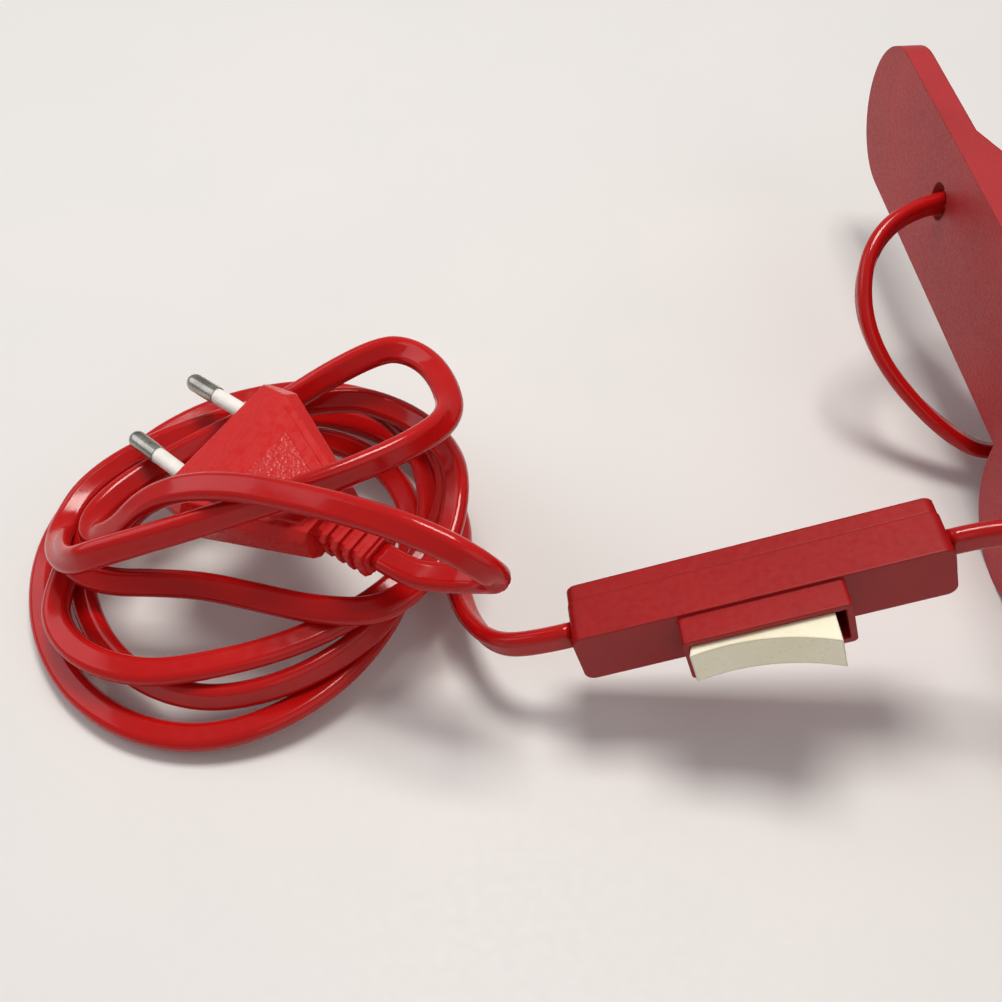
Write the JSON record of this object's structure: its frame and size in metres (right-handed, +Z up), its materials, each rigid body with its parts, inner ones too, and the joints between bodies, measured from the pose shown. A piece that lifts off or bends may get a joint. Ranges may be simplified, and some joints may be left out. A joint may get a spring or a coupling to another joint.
{
  "type": "clip-on heat lamp",
  "caption": "Clip-on heat lamp: spring clamp, swan-neck stem, tilting shaded head with an infrared reflector bulb, flat lead with rocker switch, coil and flat plug.",
  "frame": {"origin": "on the surface that the lamp stands on, under the middle of the lamp without its lead", "axes": "+Z up; +Y along the fixed clamp handle, away from its jaw; +X from the fixed clamp half towards the lamp head"},
  "size_m": [0.3985, 0.2149, 0.1518],
  "materials": {
    "red_grained": "fine spark-eroded grain",
    "rubber": "ribbed",
    "spring_steel": "drawn wire",
    "black_plastic": "moulded",
    "chrome": "polished plate",
    "zinc_steel": "zinc plated",
    "red_enamel": "gloss stoved enamel",
    "porcelain": "glazed porcelain",
    "brass": "stamped",
    "brass_screw": "turned",
    "black_bakelite": "moulded phenolic",
    "ruby_glass": "stained front, silvered back",
    "bulb_inner": "glass stalk and tungsten",
    "red_switch": "satin moulded",
    "cream_plastic": "moulded urea",
    "red_plug": "moulded PVC",
    "pin_metal": "nickel plated brass",
    "pin_sleeve": "nylon",
    "red_lead": "extruded PVC"
  },
  "bodies": {
    "root": {"clamp_half_fixed": "red_grained", "jaw_pad_fixed": "rubber", "spring_fixed_end": "spring_steel", "switch_cord_grips": "black_plastic", "switch_housing_screws": "zinc_steel", "switch_terminals": "brass", "plug_crimps": "brass", "switch_terminal_screws": "brass_screw", "switch_base_shell": "red_switch", "switch_top_shell": "red_switch", "plug_body": "red_plug", "plug_pin_carrier": "red_plug", "plug_pins": "pin_metal", "plug_pin_sleeves": "pin_sleeve", "lead_lamp_to_switch": "red_lead", "lead_switch_to_coil": "red_lead", "lead_coil": "red_lead"},
    "moving_half": {"clamp_half_moving": "red_grained", "jaw_pad_moving": "rubber", "spring_moving_end": "spring_steel", "spring_sleeve": "black_plastic", "stem_tube": "chrome", "stem_nut": "zinc_steel", "stem_collar": "zinc_steel", "stem_cord_bush": "black_plastic", "swivel_socket": "chrome"},
    "yoke": {"swivel_yoke": "chrome", "tilt_bolt": "zinc_steel", "tilt_washer": "zinc_steel", "wing_nut": "zinc_steel"},
    "head": {"holder_screws": "zinc_steel", "shade": "red_enamel", "shade_crown": "red_enamel", "porcelain_holder": "porcelain", "bulb_seal": "porcelain", "holder_screw_shell": "brass", "holder_centre_contact": "brass", "holder_terminals": "brass", "bulb_cap": "brass", "bulb_contact": "brass", "holder_terminal_screws": "brass_screw", "shade_ring": "black_bakelite", "holder_cap": "black_bakelite", "bulb_glass": "ruby_glass", "bulb_filament_mount": "bulb_inner"},
    "rocker": {"switch_rocker": "cream_plastic", "switch_contact_bridge": "brass"}
  },
  "joints": [
    {"name": "clamp_hinge", "type": "hinge", "parent": "root", "child": "moving_half", "pos_m": [-0.068, 0.0095, 0.042], "axis": [0, 0, 1], "range_deg": [0, 28], "stiffness_Nm_per_rad": 0.8, "springref_deg": -34.38},
    {"name": "yoke_swivel", "type": "hinge", "parent": "moving_half", "child": "yoke", "pos_m": [-0.02738, -0.0121, 0.118], "axis": [0.8829, -0.4695, 0], "range_deg": [-135, 135]},
    {"name": "head_tilt", "type": "hinge", "parent": "yoke", "child": "head", "pos_m": [-0.01414, -0.01914, 0.118], "axis": [-0.4695, -0.8829, 0], "range_deg": [0, 70]},
    {"name": "rocker_switch", "type": "hinge", "parent": "root", "child": "rocker", "pos_m": [-0.15328, -0.06114, 0.03248], "axis": [-0.2866, 0.0538, 0.9565], "range_deg": [0, 18]}
  ]
}
